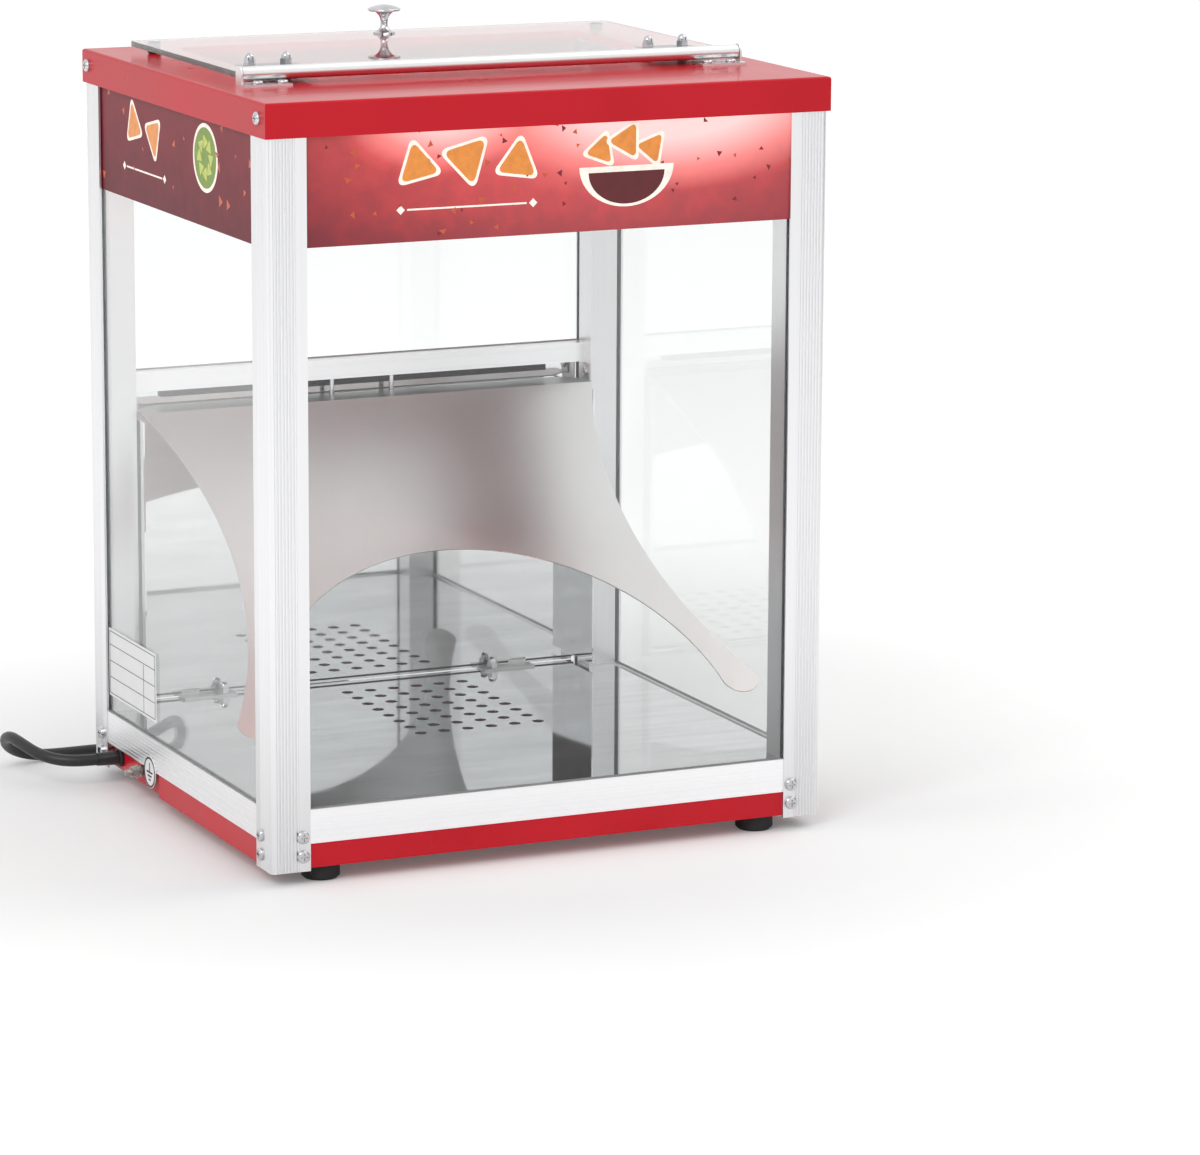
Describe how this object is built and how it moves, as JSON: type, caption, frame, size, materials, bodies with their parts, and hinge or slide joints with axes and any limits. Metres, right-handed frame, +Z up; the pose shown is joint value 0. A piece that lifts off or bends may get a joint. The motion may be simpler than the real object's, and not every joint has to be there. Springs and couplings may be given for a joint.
{
  "type": "chip warmer",
  "caption": "Counter-top glass cabinet that keeps tortilla chips warm: lift-up glass lid, sloping chip guard, perforated warm floor, tilt-out rear serving door.",
  "frame": {"origin": "middle of the bottom of the bounding box of the cabinet without its cord, on the table", "axes": "+X to the right seen from the front, +Y to the back, +Z up"},
  "size_m": [0.5109, 0.5393, 0.593],
  "materials": {
    "aluminium_frame": "satin anodised, fine extrusion lines",
    "red_paint": "glossy powder coat",
    "mirror_steel": "mirror polished stainless",
    "brushed_steel": "brushed stainless",
    "clear_glass": "clear float glass, polished edges",
    "sign_front": "printed acrylic, lit from behind",
    "sign_side": "printed acrylic",
    "gasket_rubber": "matt",
    "foot_rubber": "matt, moulded",
    "bright_steel": "bright plated",
    "tube_glass": "frosted",
    "white_enamel": "white enamel",
    "black_plastic": "moulded, satin",
    "red_lens": "translucent lens",
    "heater_sheath": "heat-darkened",
    "cord_rubber": "matt sheath",
    "tie_strap": "woven strap",
    "earth_steel": "zinc plated",
    "white_plate": "blank label"
  },
  "bodies": {
    "cabinet": {"post_front_left": "aluminium_frame", "post_front_right": "aluminium_frame", "post_rear_left": "aluminium_frame", "post_rear_right": "aluminium_frame", "rail_front": "aluminium_frame", "rail_left": "aluminium_frame", "rail_right": "aluminium_frame", "cross_rail": "aluminium_frame", "top_cap": "red_paint", "base_pan": "red_paint", "control_panel": "red_paint", "floor_plate": "mirror_steel", "baffle": "brushed_steel", "lid_brackets": "brushed_steel", "hinge_fixed": "brushed_steel", "heater_brackets": "brushed_steel", "front_glass": "clear_glass", "left_glass": "clear_glass", "right_glass": "clear_glass", "rear_glass": "clear_glass", "front_sign": "sign_front", "left_sign": "sign_side", "right_sign": "sign_side", "glass_gaskets": "gasket_rubber", "door_stop": "gasket_rubber", "feet": "foot_rubber", "cap_screws": "bright_steel", "post_screws": "bright_steel", "bracket_screws": "bright_steel", "baffle_screws": "bright_steel", "hinge_bolts": "bright_steel", "hinge_pins": "bright_steel", "lamp_tube": "tube_glass", "lamp_batten": "white_enamel", "switch_housings": "black_plastic", "thermostat_body": "black_plastic", "pilot_lamp": "red_lens", "heating_element": "heater_sheath", "strain_relief": "cord_rubber", "cord_run": "cord_rubber", "cord_coil": "cord_rubber", "cord_tail": "cord_rubber", "plug": "cord_rubber", "coil_tie": "tie_strap", "earth_terminal": "earth_steel", "earth_disc": "white_plate", "data_plate": "white_plate"},
    "lid": {"lid_glass": "clear_glass", "lid_rail": "brushed_steel", "lid_bolts": "bright_steel", "lid_acorn_nuts": "bright_steel", "lid_knob": "bright_steel", "lid_bumpers": "gasket_rubber"},
    "door": {"rear_door": "mirror_steel", "door_handle": "bright_steel", "handle_screws": "bright_steel", "hinge_door_leaves": "brushed_steel"},
    "dial": {"thermostat_knob": "black_plastic"},
    "heat_switch": {"heat_rocker": "black_plastic"},
    "light_switch": {"light_rocker": "black_plastic"}
  },
  "joints": [
    {"name": "lid_hinge", "type": "hinge", "parent": "cabinet", "child": "lid", "pos_m": [0.0039, -0.0958, 0.5705], "axis": [1, 0, 0], "range_deg": [0, 100]},
    {"name": "door_hinge", "type": "hinge", "parent": "cabinet", "child": "door", "pos_m": [0.0039, 0.1769, 0.057], "axis": [-1, 0, 0], "range_deg": [0, 90]},
    {"name": "dial_turn", "type": "hinge", "parent": "cabinet", "child": "dial", "pos_m": [-0.0761, 0.1812, 0.0415], "axis": [0, -1, 0], "range_deg": [0, 300]},
    {"name": "heat_switch_rock", "type": "hinge", "parent": "cabinet", "child": "heat_switch", "pos_m": [0.0739, 0.173, 0.0415], "axis": [0, 0, -1], "range_deg": [0, 20]},
    {"name": "light_switch_rock", "type": "hinge", "parent": "cabinet", "child": "light_switch", "pos_m": [0.1079, 0.173, 0.0415], "axis": [0, 0, -1], "range_deg": [0, 20]}
  ]
}
